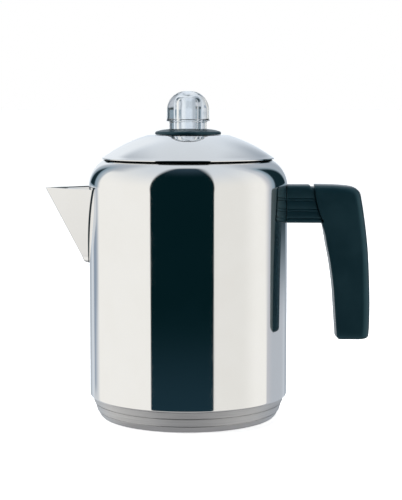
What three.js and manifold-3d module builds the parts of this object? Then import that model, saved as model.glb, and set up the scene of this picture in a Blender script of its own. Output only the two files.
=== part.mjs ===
// A stovetop coffee percolator in millimetres, +Z up, with its origin at the centre of the base's resting
// face. The spout points along -X and the handle along +X. Every piece is a separate mesh: the pot with its
// bonded base, the spout, a bolted handle, the lid with its clear knob, and the pump and basket inside.
import * as THREE from "three";
import { mergeVertices } from "three/addons/utils/BufferGeometryUtils.js";
import Module from "manifold-3d";

const wasm = await Module();
wasm.setup();

// Driving dimensions.
const POT_RADIUS = 64;
const SHEET = 0.8; // steel sheet of the pot and the lid
const GAP = 0.3; // clearance between pieces that touch
const FLOOR_UNDERSIDE = 6.4; // the pot's floor, above the heat core
const BASE_TOP = 14.2; // where the base cap ends and the polished wall starts
const SHOULDER_RADIUS = 20; // the wall turns inwards on this arc
const SHOULDER_START = 148.5;
const MOUTH_RADIUS = 47.4;
const LID_RADIUS = 55.3;
const LID_EDGE = 166.2;
const LID_ARC = { centre: 93.4, radius: 92 }; // the dome's generating circle, centred on the pot's axis
const LID_FLAT = { height: 181.65, radius: 21.2 }; // seat of the collar on top of the dome
const KNOB_HOLE = 11.3;
const KNOB_TOP = 209.8;
const TUBE_RADIUS = 4.75;
const TUBE_TOP = 181;
const BASKET_RADIUS = 43.5;
const BASKET_FLOOR = 112.1;
const BASKET_RIM = 156;
const ARM = { bottom: 126, top: 150, width: 20 };
const GRIP_WIDTH = 23;
const SCREW_HEIGHT = 138; // the handle screw's axis
const SPOUT = { tip: -93.85, top: 147.8, keelEnd: 102.4, keelSlope: 0.528, halfAngle: 0.66, sheet: 0.9 };

// Facets round a full turn.
const ROUND = { large: 40, medium: 24, small: 16, hole: 6 };

const steel = (roughness) => new THREE.MeshStandardMaterial({ color: 0xd4d6d8, roughness, metalness: 1 });
const MATERIAL = {
  polished: steel(0.08),
  satin: steel(0.4),
  aluminium: new THREE.MeshStandardMaterial({ color: 0xc3c5c6, roughness: 0.5, metalness: 1 }),
  black: new THREE.MeshStandardMaterial({ color: 0x16191b, roughness: 0.45, metalness: 0 }),
  clear: new THREE.MeshStandardMaterial({ color: 0xeef3f6, roughness: 0.05, metalness: 0 }),
};

const group = new THREE.Group();

function addPiece(name, solid, material) {
  const mesh = new THREE.Mesh(solid.isBufferGeometry ? solid : toGeometry(solid), material);
  mesh.name = name;
  group.add(mesh);
}

// ---- Geometry helpers -------------------------------------------------------------------------------

// A closed three.js geometry as a manifold-3d solid.
function toSolid(geometry) {
  const bare = new THREE.BufferGeometry();
  const source = geometry.index ? geometry.toNonIndexed() : geometry;
  bare.setAttribute("position", source.getAttribute("position").clone());
  const merged = mergeVertices(bare, 1e-3);
  const vertProperties = merged.attributes.position.array;
  const triVerts = new Uint32Array(merged.index.array);
  return new wasm.Manifold(new wasm.Mesh({ numProp: 3, vertProperties, triVerts }));
}

function toGeometry(solid) {
  const mesh = solid.getMesh();
  const geometry = new THREE.BufferGeometry();
  geometry.setAttribute("position", new THREE.BufferAttribute(Float32Array.from(mesh.vertProperties), 3));
  geometry.setIndex(new THREE.BufferAttribute(Uint32Array.from(mesh.triVerts), 1));
  geometry.computeVertexNormals();
  return geometry;
}

const cut = (solid, ...tools) => tools.reduce((left, tool) => left.subtract(tool), solid);
const join = (solid, ...others) => others.reduce((left, other) => left.add(other), solid);

// Points [r, z] become a closed ring of Vector2, turned so that a lathe of it faces outwards.
function closedProfile(points) {
  const ring = points.map(([r, z]) => new THREE.Vector2(r, z));
  const outline = THREE.ShapeUtils.area(ring) > 0 ? ring : ring.reverse();
  return [...outline, outline[0].clone()];
}

// A solid of revolution about Z from a closed profile of [r, z] points.
function turned(points, facets) {
  return toSolid(new THREE.LatheGeometry(closedProfile(points), facets).rotateX(Math.PI / 2));
}

// The closed profile of a sheet of even thickness lying to the left of a line of [r, z] points.
function sheetProfile(line, thickness) {
  const points = line.map(([r, z]) => new THREE.Vector2(r, z));
  const left = (a, b) => new THREE.Vector2(a.y - b.y, b.x - a.x).normalize();
  const offset = points.map((point, i) => {
    const before = left(points[Math.max(i - 1, 0)], points[Math.max(i, 1)]);
    const after = left(points[Math.min(i, points.length - 2)], points[Math.min(i + 1, points.length - 1)]);
    const mitre = before.clone().add(after);
    return point.clone().addScaledVector(mitre, (2 * thickness) / mitre.lengthSq());
  });
  return [...line, ...offset.reverse().map((p) => [p.x, p.y])];
}

// Points [r, z] along a circular arc, from one angle to another in degrees.
function arc(centreR, centreZ, radius, from, to, steps) {
  return Array.from({ length: steps + 1 }, (_, i) => {
    const angle = THREE.MathUtils.degToRad(from + ((to - from) * i) / steps);
    return [centreR + radius * Math.cos(angle), centreZ + radius * Math.sin(angle)];
  });
}

const ALONG_X = new THREE.Matrix4().makeBasis(
  new THREE.Vector3(0, 1, 0),
  new THREE.Vector3(0, 0, 1),
  new THREE.Vector3(1, 0, 0),
);
const ALONG_Y = new THREE.Matrix4().makeBasis(
  new THREE.Vector3(1, 0, 0),
  new THREE.Vector3(0, 0, 1),
  new THREE.Vector3(0, -1, 0),
);

// A shape drawn in Y and Z, extruded from x0 to x1.
function extrudeX(shape, x0, x1, curveSegments = 4) {
  const geometry = new THREE.ExtrudeGeometry(shape, { depth: x1 - x0, bevelEnabled: false, curveSegments });
  return toSolid(geometry.applyMatrix4(ALONG_X).translate(x0, 0, 0));
}

// A shape drawn in X and Z, extruded to a width centred on Y = 0.
function extrudeY(shape, width, curveSegments = 8) {
  const geometry = new THREE.ExtrudeGeometry(shape, { depth: width, bevelEnabled: false, curveSegments });
  return toSolid(geometry.applyMatrix4(ALONG_Y).translate(0, width / 2, 0));
}

// A closed solid through convex rings of [x, y, z] points, all with the same count. Each ring turns
// anticlockwise when it is seen from the ring after it.
function loft(rings) {
  const count = rings[0].length;
  const last = (rings.length - 1) * count;
  const faces = [];
  for (let i = 1; i < count - 1; i += 1) {
    faces.push(0, i + 1, i, last, last + i, last + i + 1);
  }
  for (let ring = 0; ring < rings.length - 1; ring += 1) {
    for (let i = 0; i < count; i += 1) {
      const a = ring * count + i;
      const b = ring * count + ((i + 1) % count);
      faces.push(a, b, b + count, a, b + count, a + count);
    }
  }
  const geometry = new THREE.BufferGeometry();
  geometry.setAttribute("position", new THREE.Float32BufferAttribute(rings.flat(2), 3));
  geometry.setIndex(faces);
  return toSolid(geometry);
}

function box(x0, x1, y0, y1, z0, z1) {
  const geometry = new THREE.BoxGeometry(x1 - x0, y1 - y0, z1 - z0);
  return toSolid(geometry.translate((x0 + x1) / 2, (y0 + y1) / 2, (z0 + z1) / 2));
}

function rodX(radius, x0, x1, y, z, facets = ROUND.small) {
  const geometry = new THREE.CylinderGeometry(radius, radius, x1 - x0, facets).rotateZ(Math.PI / 2);
  return toSolid(geometry.translate((x0 + x1) / 2, y, z));
}

function rodZ(radius, z0, z1, x = 0, y = 0, facets = ROUND.hole) {
  const geometry = new THREE.CylinderGeometry(radius, radius, z1 - z0, facets).rotateX(Math.PI / 2);
  return toSolid(geometry.translate(x, y, (z0 + z1) / 2));
}

// Round holes on circles about Z: each row is [circle radius, count].
function drillRows(plate, rows, holeRadius, z0, z1) {
  const drills = rows.flatMap(([radius, count]) =>
    Array.from({ length: count }, (_, i) => {
      const angle = (2 * Math.PI * i) / count;
      return rodZ(holeRadius, z0, z1, radius * Math.cos(angle), radius * Math.sin(angle));
    }),
  );
  return cut(plate, ...drills);
}

// A block between two radii, spanning a number of degrees about a heading, from z0 to z1.
function sector(inner, outer, heading, span, z0, z1) {
  const rim = (radius, sign) => arc(0, 0, radius, heading - (sign * span) / 2, heading + (sign * span) / 2, 4);
  const outline = [...rim(outer, 1), ...rim(inner, -1)].map(([x, y]) => new THREE.Vector2(x, y));
  const options = { depth: z1 - z0, bevelEnabled: false };
  return toSolid(new THREE.ExtrudeGeometry(new THREE.Shape(outline), options).translate(0, 0, z0));
}

// ---- Pot --------------------------------------------------------------------------------------------

const LEDGE = { inner: 61.95, outer: 63.1, height: 14.55 }; // the wall steps in here to take the base cap

function makeBodyShell() {
  const heel = { r: 51.5, radius: 11 }; // floor to ledge
  const foot = { r: 49.5, radius: 14.5 }; // ledge to wall
  const bead = { r: MOUTH_RADIUS + 1.2, z: 166.7, radius: 1.2 };
  const wall = [
    [0, FLOOR_UNDERSIDE],
    ...arc(heel.r, FLOOR_UNDERSIDE + heel.radius, heel.radius, -90, -18, 3),
    [LEDGE.inner, LEDGE.height],
    ...arc(foot.r, 19.5, foot.radius, -20, 0, 2),
    ...arc(POT_RADIUS - SHOULDER_RADIUS, SHOULDER_START, SHOULDER_RADIUS, 0, 76, 5),
    ...arc(bead.r, bead.z, bead.radius, 90, 180, 2),
    [MOUTH_RADIUS, 163.5],
  ];
  return cut(turned(sheetProfile(wall, SHEET), ROUND.large), ...strainerHoles());
}

// Holes through the wall behind the spout, in rows that narrow downwards as the spout does.
function strainerHoles() {
  const pitch = 6.5;
  const rows = [5, 4, 3, 2, 1];
  return rows.flatMap((count, row) =>
    Array.from({ length: count }, (_, i) => {
      const y = (i - (count - 1) / 2) * pitch;
      return rodX(2.2, -POT_RADIUS - 2, -POT_RADIUS + 8, y, 140 - row * 8, ROUND.hole);
    }),
  );
}

// A stepped cup pressed over the pot's floor: three sloping bands parted by two grooves.
function makeBaseCap() {
  const bands = [
    { low: [57.4, 1.2], high: [58.8, 3.7] },
    { low: [59.4, 4.6], high: [60.75, 8.9] },
    { low: [61.3, 9.7], high: [62.7, BASE_TOP] },
  ];
  const grooveDepth = 0.5;
  const grooves = bands.slice(0, 2).map(({ high: [r, z] }) => [
    [r - grooveDepth, z + 0.2],
    [r - grooveDepth, z + 0.6],
  ]);
  const outside = bands.flatMap(({ low, high }, i) => [low, high, ...(grooves[i] ?? [])]);
  const inside = [[62.2, BASE_TOP], [61.7, 12.8], [59.4, 8.9], [57.4, 4], [55.2, 0.9], [0, 0.9]];
  return turned([[0, 0], [56.2, 0], ...outside, ...inside], ROUND.large);
}

function makeHeatCore() {
  return rodZ(50, 1.2, FLOOR_UNDERSIDE - GAP, 0, 0, ROUND.large);
}

// ---- Spout ------------------------------------------------------------------------------------------

// One level of the spout's vee: straight sides that meet in a rounded fold at the apex.
function spoutLevel(apex, foldRadius, z) {
  const back = -55; // inside the pot, cut away afterwards
  const steps = 5;
  const foldCentre = apex + foldRadius / Math.sin(SPOUT.halfAngle);
  const spread = 90 - THREE.MathUtils.radToDeg(SPOUT.halfAngle);
  const reach = (back - apex) * Math.tan(SPOUT.halfAngle);
  const fold = arc(foldCentre, 0, foldRadius, 180 - spread, 180 + spread, steps);
  return [[back, reach], ...fold, [back, -reach]].map(([x, y]) => [x, y, z]);
}

function spoutApex(z) {
  return SPOUT.tip + SPOUT.keelSlope * (SPOUT.top - z);
}

function makePourSpout() {
  const { top, keelEnd, sheet } = SPOUT;
  const inset = 1.55; // how far the inside apex lies behind the outside one
  const toe = spoutApex(keelEnd);
  const outside = loft([
    spoutLevel(toe + 4.3, 1, keelEnd - 2.6),
    spoutLevel(toe + 1.5, 1.6, keelEnd - 1.6),
    spoutLevel(toe, 2, keelEnd),
    spoutLevel(SPOUT.tip, 2, top),
  ]);
  const floor = keelEnd - 0.9;
  const inside = loft([
    spoutLevel(spoutApex(floor) + inset, 2 - sheet, floor),
    spoutLevel(spoutApex(top + 2) + inset, 2 - sheet, top + 2),
  ]);
  return cut(outside, inside, rodZ(POT_RADIUS + GAP, 80, 160, 0, 0, ROUND.large));
}

// ---- Handle -----------------------------------------------------------------------------------------

const TANG = { end: 88, halfWidth: 3, low: 133, high: 143 };
const SCREW = { shank: 1.8, head: 4.2, seat: 99, tip: 79 };

// The line in X and Z along which the arm and the grip meet, shifted outwards by a distance.
function seamLine(shape, shift) {
  shape.lineTo(87.2 + shift, ARM.bottom);
  shape.quadraticCurveTo(81.4 + shift, 137, 80.9 + shift, ARM.top + 2);
}

// Everything outwards of the seam, or inwards of it, as a block wide enough to cut either piece.
function besideSeam(shift, farX) {
  const shape = new THREE.Shape();
  shape.moveTo(farX, ARM.bottom - 4);
  shape.lineTo(88.2 + shift, ARM.bottom - 4);
  seamLine(shape, shift);
  shape.lineTo(farX, ARM.top + 2);
  return extrudeY(shape, 40);
}

// A pad that is welded to the wall, with a tang that carries the arm and the grip.
function makeHandleBracket() {
  const pad = sector(POT_RADIUS + GAP, POT_RADIUS + 1.5, 0, 14, 129, 147);
  const tang = box(POT_RADIUS + 1, TANG.end, -TANG.halfWidth, TANG.halfWidth, TANG.low, TANG.high);
  const hole = rodX(SCREW.shank + 0.2, SCREW.tip - 3, TANG.end + 1, 0, SCREW_HEIGHT);
  return cut(join(pad, tang), hole);
}

// The arm's section in Y and Z: rounded corners and three pairs of fine grooves along each side.
function armSection() {
  const half = ARM.width / 2;
  const crown = 3.5;
  const heel = 1.5;
  const grooveDepth = 0.35;
  const grooves = [127.4, 129.2, 133.2, 135, 139.4, 141.2];
  const side = grooves.flatMap((z) => [
    [half, z - 0.3],
    [half - grooveDepth, z],
    [half, z + 0.3],
  ]);
  const right = [
    ...arc(half - heel, ARM.bottom + heel, heel, -90, 0, 3),
    ...side.filter(([, z]) => z > ARM.bottom + heel),
    ...arc(half - crown, ARM.top - crown, crown, 0, 90, 5),
  ];
  const left = right.map(([y, z]) => [-y, z]).reverse();
  return new THREE.Shape([...right, ...left].map(([y, z]) => new THREE.Vector2(y, z)));
}

function makeHandleArm() {
  const blank = extrudeX(armSection(), 58, 92);
  const notch = new THREE.Shape([
    new THREE.Vector2(78.3, ARM.top + 1),
    new THREE.Vector2(79.4, ARM.top - 3),
    new THREE.Vector2(84, ARM.top - 3),
    new THREE.Vector2(84, ARM.top + 1),
  ]);
  const channel = box(60, 95, -TANG.halfWidth - GAP, TANG.halfWidth + GAP, TANG.low - GAP, TANG.high + GAP);
  return cut(
    blank,
    besideSeam(-0.25, 120),
    extrudeY(notch, 40),
    channel,
    rodZ(POT_RADIUS + GAP, 100, 170, 0, 0, ROUND.large),
    sector(POT_RADIUS - 2, POT_RADIUS + 1.9, 0, 14.8, 128.6, 147.4),
  );
}

// Stations along the grip, from behind the seam to the lower end. Each gives the section's inner and outer
// edge in X and Z, and how far its sides are drawn in.
const GRIP_STATIONS = [
  { inner: [74, 126], outer: [74, 150.3] },
  { inner: [84, 126], outer: [84, 150.2] },
  { inner: [86.3, 125.7], outer: [93, 150] },
  { inner: [86.7, 124.5], outer: [99, 149.6] },
  { inner: [87.1, 123], outer: [104.5, 148.9] },
  { inner: [87.5, 121.3], outer: [108.2, 147.4] },
  { inner: [88, 119.3], outer: [110.2, 144.9] },
  { inner: [88.7, 116.5], outer: [111.2, 140.5] },
  { inner: [89.7, 112], outer: [112.4, 133.5] },
  { inner: [91.1, 103], outer: [114.2, 121] },
  { inner: [92.2, 94], outer: [115.6, 107.5] },
  { inner: [93.3, 84], outer: [116.5, 92] },
  { inner: [94.2, 72], outer: [117.1, 76.5] },
  { inner: [94.9, 62], outer: [117.1, 63] },
  { inner: [95.5, 55.5], outer: [116.8, 55.5] },
  { inner: [95.9, 53.4], outer: [116.4, 53.3], drawnIn: 0.3 },
  { inner: [96.7, 51.9], outer: [115.4, 51.8], drawnIn: 1.1 },
  { inner: [98.2, 51], outer: [113.8, 51], drawnIn: 2.6 },
];

// A rounded rectangle between a station's inner and outer edge.
function gripRing({ inner, outer, drawnIn = 0 }) {
  const half = GRIP_WIDTH / 2 - drawnIn;
  const depth = Math.hypot(outer[0] - inner[0], outer[1] - inner[1]);
  const [round, tight] = [5, 2.2]; // corner radii on the outer and the inner side
  const corners = [
    ...arc(depth - round, half - round, round, 0, 90, 4),
    ...arc(tight, half - tight, tight, 90, 180, 3),
    ...arc(tight, tight - half, tight, 180, 270, 3),
    ...arc(depth - round, round - half, round, 270, 360, 4),
  ];
  return corners.map(([along, y]) => {
    const t = along / depth;
    return [inner[0] + (outer[0] - inner[0]) * t, y, inner[1] + (outer[1] - inner[1]) * t];
  });
}

function makeGripBlank() {
  return loft(GRIP_STATIONS.map(gripRing).reverse());
}

function makeHandleGrip() {
  const wall = TANG.halfWidth + 0.4;
  return cut(
    makeGripBlank(),
    besideSeam(0.25, 60),
    box(78, TANG.end + 2, -wall, wall, TANG.low - 0.4, TANG.high + 0.4),
    rodX(SCREW.shank + 0.6, 80, 120, 0, SCREW_HEIGHT),
    rodX(SCREW.head + 0.4, SCREW.seat, 120, 0, SCREW_HEIGHT),
  );
}

function makeHandleScrew() {
  const head = SCREW.seat + 1.4;
  const shank = rodX(SCREW.shank, SCREW.tip, head + 1, 0, SCREW_HEIGHT);
  const slot = box(head + 2, head + 4, -3, 3, SCREW_HEIGHT - 0.5, SCREW_HEIGHT + 0.5);
  return cut(join(shank, rodX(SCREW.head, head, head + 3, 0, SCREW_HEIGHT)), slot);
}

function makeHandleWasher() {
  const face = SCREW.seat + GAP;
  return cut(rodX(4, face, face + 0.8, 0, SCREW_HEIGHT), rodX(2.2, face - 1, face + 2, 0, SCREW_HEIGHT));
}

// A plug that fills the screw's recess, flush with the grip's outer face.
function makeScrewPlug() {
  return makeGripBlank().intersect(rodX(SCREW.head, 104, 120, 0, SCREW_HEIGHT));
}

// ---- Lid --------------------------------------------------------------------------------------------

const LUG = { radius: 13.2, span: 28, unlockTurn: 60 };

function makeLidDome() {
  const edge = (r) => THREE.MathUtils.radToDeg(Math.acos(r / LID_ARC.radius));
  const outside = [
    [LID_RADIUS, LID_EDGE],
    [LID_RADIUS, LID_EDGE + 0.6],
    ...arc(0, LID_ARC.centre, LID_ARC.radius, edge(55), edge(26.2), 5),
    [LID_FLAT.radius, LID_FLAT.height],
    [KNOB_HOLE, LID_FLAT.height],
  ];
  const keyholes = [0, 180].map((turn) =>
    sector(KNOB_HOLE - 3, LUG.radius + 0.5, turn + LUG.unlockTurn, LUG.span + 6, 178, 186),
  );
  return cut(turned(sheetProfile(outside, SHEET), ROUND.large), ...keyholes);
}

// The ring under the dome that centres the lid in the pot's mouth.
function makeLidSkirt() {
  const outer = MOUTH_RADIUS - 0.8;
  const wall = outer - 0.7;
  const flange = 50.6;
  const seat = 168.2; // just above the mouth's rolled edge
  const profile = [
    [outer, 159.5],
    [outer, seat],
    [flange, seat],
    [flange, seat + 0.7],
    [wall, seat + 0.7],
    [wall, 159.5],
  ];
  return turned(profile, ROUND.large);
}

function makeKnobCollar() {
  const seat = LID_FLAT.height + GAP;
  const profile = [
    [KNOB_HOLE + 0.2, seat],
    [LID_FLAT.radius - 0.5, seat],
    [LID_FLAT.radius, seat + 0.5],
    [LID_FLAT.radius, 183.4],
    [LID_FLAT.radius - 0.6, 184],
    [17, 185.1],
    [12.4, 185.6],
    [12.4, 183.8],
    [KNOB_HOLE + 0.2, 183.8],
  ];
  return turned(profile, ROUND.medium);
}

// The clear knob: a dome and a neck round a straight bore, with a spigot whose two lugs lock under the lid.
function makeSightKnob() {
  const dome = 12;
  const bore = 6.2;
  const outside = [
    [bore, 178.6],
    [10.9, 178.6],
    [10.9, 184.1],
    [12, 184.1],
    [12, 190.3],
    [13.9, 190.7],
    [13.9, 191.5],
    [13.5, 192],
    ...arc(1.5, KNOB_TOP - dome, dome, 0, 90, 5),
    [0, KNOB_TOP],
  ];
  const inside = [[0, 205.6], ...arc(1.2, 200.6, 5, 90, 0, 3)];
  const lugs = [0, 180].map((turn) => sector(10, LUG.radius, turn, LUG.span, 178.8, 180.5));
  return join(turned([...outside, ...inside], ROUND.medium), ...lugs);
}

// ---- Pump and basket --------------------------------------------------------------------------------

function makePumpTube() {
  const bore = TUBE_RADIUS - 0.6;
  return turned([[bore, 17], [TUBE_RADIUS, 17], [TUBE_RADIUS, TUBE_TOP], [bore, TUBE_TOP]], ROUND.small);
}

// A trumpet-shaped foot that gathers steam under the tube. Notches in its rim let water in.
function makePumpFoot() {
  const rim = 27;
  const floor = FLOOR_UNDERSIDE + SHEET + GAP;
  const neck = TUBE_RADIUS + 1;
  const outside = [
    [neck, 29],
    ...arc(neck + 10, 24, 10, 180, 256, 4),
    [rim - 1.5, floor + 4.2],
    [rim, floor + 2.6],
    [rim, floor],
  ];
  const notch = (turn) => sector(rim - 4, rim + 2, turn, 14, floor - 1, floor + 1.8);
  return cut(turned(sheetProfile(outside.reverse(), 0.7), ROUND.medium), ...[45, 135, 225, 315].map(notch));
}

function makeValveSeat() {
  return turned([[2.2, 12.2], [15.2, 12.2], [15.2, 12.9], [2.2, 12.9]], ROUND.medium);
}

function makeValveDisc() {
  return rodZ(5.5, 13.2, 14, 0, 0, ROUND.small);
}

// The collar on the tube that the basket's sleeve stands on.
function makeBasketStop() {
  const bore = TUBE_RADIUS + 0.25;
  const top = BASKET_FLOOR - 1.2;
  const bottom = top - 2.4;
  return turned([[bore, bottom], [6.8, bottom], [7.8, top - 1.2], [7.8, top], [bore, top]], ROUND.small);
}

function makeBasketCup() {
  const bead = 0.8;
  const outside = [
    [6.2, BASKET_FLOOR],
    ...arc(BASKET_RADIUS - 3, BASKET_FLOOR + 3, 3, -90, 0, 3),
    [BASKET_RADIUS, BASKET_RIM - 1],
    [BASKET_RADIUS + bead, BASKET_RIM],
    [BASKET_RADIUS + bead, BASKET_RIM + 1.2],
  ];
  const cup = turned(sheetProfile(outside, 0.7), ROUND.large);
  return drillRows(cup, [[17, 8], [31, 14]], 1.6, BASKET_FLOOR - 2, BASKET_FLOOR + 3);
}

function makeBasketSleeve() {
  const bore = TUBE_RADIUS + 0.5;
  const outer = bore + 0.65;
  const foot = BASKET_FLOOR - 0.9;
  const profile = [
    [bore, foot],
    [8.4, foot],
    [8.4, foot + 0.6],
    [outer, foot + 0.6],
    [outer, 153.4],
    [bore, 153.4],
  ];
  return turned(profile, ROUND.small);
}

// The perforated cover that spreads water over the grounds: a lip on the basket's rim and a sunken plate.
function makeBasketCover() {
  const lip = BASKET_RIM + 1.5;
  const plate = 154.3;
  const plug = BASKET_RADIUS - 1.1;
  const hub = TUBE_RADIUS + 0.7;
  const outside = [
    [hub, 158.5],
    [hub, plate],
    [plug, plate],
    [plug, lip],
    [BASKET_RADIUS + 0.8, lip],
  ];
  const cover = turned(sheetProfile(outside, 0.6), ROUND.large);
  return drillRows(cover, [[17, 8], [31, 14]], 1.6, plate - 2, plate + 3);
}

addPiece("body_shell", makeBodyShell(), MATERIAL.polished);
addPiece("base_cap", makeBaseCap(), MATERIAL.satin);
addPiece("heat_core", makeHeatCore(), MATERIAL.aluminium);
addPiece("pour_spout", makePourSpout(), MATERIAL.polished);
addPiece("handle_bracket", makeHandleBracket(), MATERIAL.satin);
addPiece("handle_arm", makeHandleArm(), MATERIAL.black);
addPiece("handle_grip", makeHandleGrip(), MATERIAL.black);
addPiece("handle_screw", makeHandleScrew(), MATERIAL.satin);
addPiece("handle_washer", makeHandleWasher(), MATERIAL.satin);
addPiece("screw_plug", makeScrewPlug(), MATERIAL.black);
addPiece("lid_dome", makeLidDome(), MATERIAL.polished);
addPiece("lid_skirt", makeLidSkirt(), MATERIAL.satin);
addPiece("knob_collar", makeKnobCollar(), MATERIAL.black);
addPiece("sight_knob", makeSightKnob(), MATERIAL.clear);
addPiece("pump_tube", makePumpTube(), MATERIAL.satin);
addPiece("pump_foot", makePumpFoot(), MATERIAL.satin);
addPiece("valve_seat", makeValveSeat(), MATERIAL.satin);
addPiece("valve_disc", makeValveDisc(), MATERIAL.satin);
addPiece("basket_stop", makeBasketStop(), MATERIAL.satin);
addPiece("basket_cup", makeBasketCup(), MATERIAL.satin);
addPiece("basket_sleeve", makeBasketSleeve(), MATERIAL.satin);
addPiece("basket_cover", makeBasketCover(), MATERIAL.satin);

export default group;
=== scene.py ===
import math

import bmesh
import bpy
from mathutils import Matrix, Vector


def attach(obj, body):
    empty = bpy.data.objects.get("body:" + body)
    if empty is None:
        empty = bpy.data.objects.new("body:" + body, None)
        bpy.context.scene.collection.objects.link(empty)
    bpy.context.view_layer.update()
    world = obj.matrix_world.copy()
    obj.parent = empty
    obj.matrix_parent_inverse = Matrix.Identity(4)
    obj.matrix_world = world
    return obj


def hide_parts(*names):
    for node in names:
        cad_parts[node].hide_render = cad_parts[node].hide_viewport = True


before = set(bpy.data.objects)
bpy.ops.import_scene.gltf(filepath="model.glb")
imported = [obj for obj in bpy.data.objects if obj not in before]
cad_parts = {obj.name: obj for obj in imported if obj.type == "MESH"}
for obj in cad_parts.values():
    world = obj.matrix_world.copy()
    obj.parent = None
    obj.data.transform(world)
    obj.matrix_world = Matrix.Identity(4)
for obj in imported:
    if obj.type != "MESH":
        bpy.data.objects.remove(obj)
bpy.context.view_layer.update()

MM = 0.001

POT_RADIUS = 64.0
SHEET = 0.8
INNER_SHEET = 0.7

# The lid is a piece of a ball's surface, cut flat at the top for the collar.
LID_RADIUS = 55.3
LID_BALL_RADIUS = 92.0
LID_BALL_HEIGHT = 93.4
LID_FLAT = 181.65
UNLOCK_TURN = 60.0

# The handle: the arm is a bar from the wall to the seam, the grip hangs from it, and one screw holds both.
ARM_BOTTOM = 126.0
ARM_TOP = 150.0
ARM_HALF_WIDTH = 10.0
ARM_HALF_HEIGHT = 12.0
GRIP_WIDTH = 23.0
GRIP_TOP = 150.2
SCREW_HEIGHT = 138.0
SCREW_TIP = 79.0
WASHER_START = 99.3
SCREW_HEAD_END = 103.4

# The slanted joint of the arm and the grip is a quadratic curve in X and Z: its ends and the point it leans on.
SEAM_LOW = (87.2, ARM_BOTTOM)
SEAM_LEAN = (81.4, 137.0)
SEAM_HIGH = (80.9, 152.0)


# ---- Mesh helpers -----------------------------------------------------------------------------------


def new_object(name, verts, faces, material, body, stands_for, sharp=32.0):
    """A piece from points in millimetres: smooth, with hard edges where faces meet at a large angle."""
    mesh = bpy.data.meshes.new(name)
    mesh.from_pydata([Vector(v) * MM for v in verts], [], faces)
    obj = bpy.data.objects.new(name, mesh)
    bpy.context.scene.collection.objects.link(obj)
    finish_mesh(obj, sharp)
    dress(obj, material, body, stands_for)
    return obj


def finish_mesh(obj, sharp=32.0):
    """Outward normals, smooth shading, hard edges above an angle."""
    work = bmesh.new()
    work.from_mesh(obj.data)
    bmesh.ops.remove_doubles(work, verts=work.verts, dist=1e-7)
    bmesh.ops.recalc_face_normals(work, faces=work.faces)
    work.to_mesh(obj.data)
    work.free()
    obj.data.shade_smooth()
    obj.data.set_sharp_from_angle(angle=math.radians(sharp))


def dress(obj, material, body, stands_for):
    obj.data.materials.clear()
    obj.data.materials.append(material)
    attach(obj, body)
    if stands_for:
        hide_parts(*stands_for)


def arc(centre_r, centre_z, radius, start, end, step=4.0):
    """Points [r, z] on a circular arc, about one every step degrees."""
    count = max(2, math.ceil(abs(end - start) / step))
    angles = [math.radians(start + (end - start) * i / count) for i in range(count + 1)]
    return [(centre_r + radius * math.cos(a), centre_z + radius * math.sin(a)) for a in angles]


def rounded(points, closed=True, step=12.0):
    """The points (r, z, fillet) as a line whose corners are rounded, with extra points beside each fillet."""
    result = []
    count = len(points)
    for i, point in enumerate(points):
        here = Vector(point[:2])
        fillet = point[2] if len(point) > 2 else 0.0
        inner = closed or 0 < i < count - 1
        before = Vector(points[i - 1][:2]) - here
        after = Vector(points[(i + 1) % count][:2]) - here
        if not inner or fillet <= 0 or before.length < 1e-9 or after.length < 1e-9:
            result.append(tuple(here))
            continue
        turn = before.angle(after)
        if turn > math.radians(178):
            result.append(tuple(here))
            continue
        reach = min(fillet / math.tan(turn / 2), before.length * 0.49, after.length * 0.49)
        radius = reach * math.tan(turn / 2)
        to_centre = (before.normalized() + after.normalized()).normalized()
        centre = here + to_centre * (radius / math.sin(turn / 2))
        first = here + before.normalized() * reach
        last = here + after.normalized() * reach
        a0 = math.atan2(first.y - centre.y, first.x - centre.x)
        a1 = math.atan2(last.y - centre.y, last.x - centre.x)
        sweep = (a1 - a0 + math.pi) % (2 * math.pi) - math.pi
        steps = max(2, math.ceil(abs(math.degrees(sweep)) / step))
        support = min(radius * 0.4, before.length * 0.2, after.length * 0.2)
        result.append(tuple(first + before.normalized() * support))
        for k in range(steps + 1):
            a = a0 + sweep * k / steps
            result.append((centre.x + radius * math.cos(a), centre.y + radius * math.sin(a)))
        result.append(tuple(last + after.normalized() * support))
    return result


def offset_line(line, distance):
    """The open line moved sideways to its left by a distance, with mitred corners."""
    points = [Vector(p) for p in line]
    moved = []
    for i, point in enumerate(points):
        a = points[max(i, 1)] - points[max(i, 1) - 1]
        j = min(i, len(points) - 2)
        b = points[j + 1] - points[j]
        n0 = Vector((-a.y, a.x)).normalized()
        n1 = Vector((-b.y, b.x)).normalized()
        mitre = n0 + n1
        moved.append(tuple(point + mitre * (2 * distance / mitre.length_squared)))
    return moved


def sheet_outline(line, thickness):
    """A closed outline for sheet metal: the line, and the same line moved left by the thickness."""
    return list(line) + offset_line(line, thickness)[::-1]


def lathe_mesh(outline, steps):
    """Vertices and faces of an outline (r, z) turned about Z. Points on the axis become one vertex."""
    verts, faces, rings = [], [], []
    for r, z in outline:
        if r < 1e-6:
            rings.append([len(verts)] * steps)
            verts.append((0.0, 0.0, z))
            continue
        rings.append(list(range(len(verts), len(verts) + steps)))
        for k in range(steps):
            a = 2 * math.pi * k / steps
            verts.append((r * math.cos(a), r * math.sin(a), z))
    for i, ring in enumerate(rings):
        following = rings[(i + 1) % len(rings)]
        if outline[i][0] < 1e-6 and outline[(i + 1) % len(rings)][0] < 1e-6:
            continue
        for k in range(steps):
            n = (k + 1) % steps
            corners = [ring[k], ring[n], following[n], following[k]]
            face = [c for j, c in enumerate(corners) if c not in corners[:j]]
            if len(face) > 2:
                faces.append(face)
    return verts, faces


def turned(name, outline, material, body, stands_for, steps=160, sharp=32.0):
    verts, faces = lathe_mesh(outline, steps)
    return new_object(name, verts, faces, material, body, stands_for, sharp)


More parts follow.
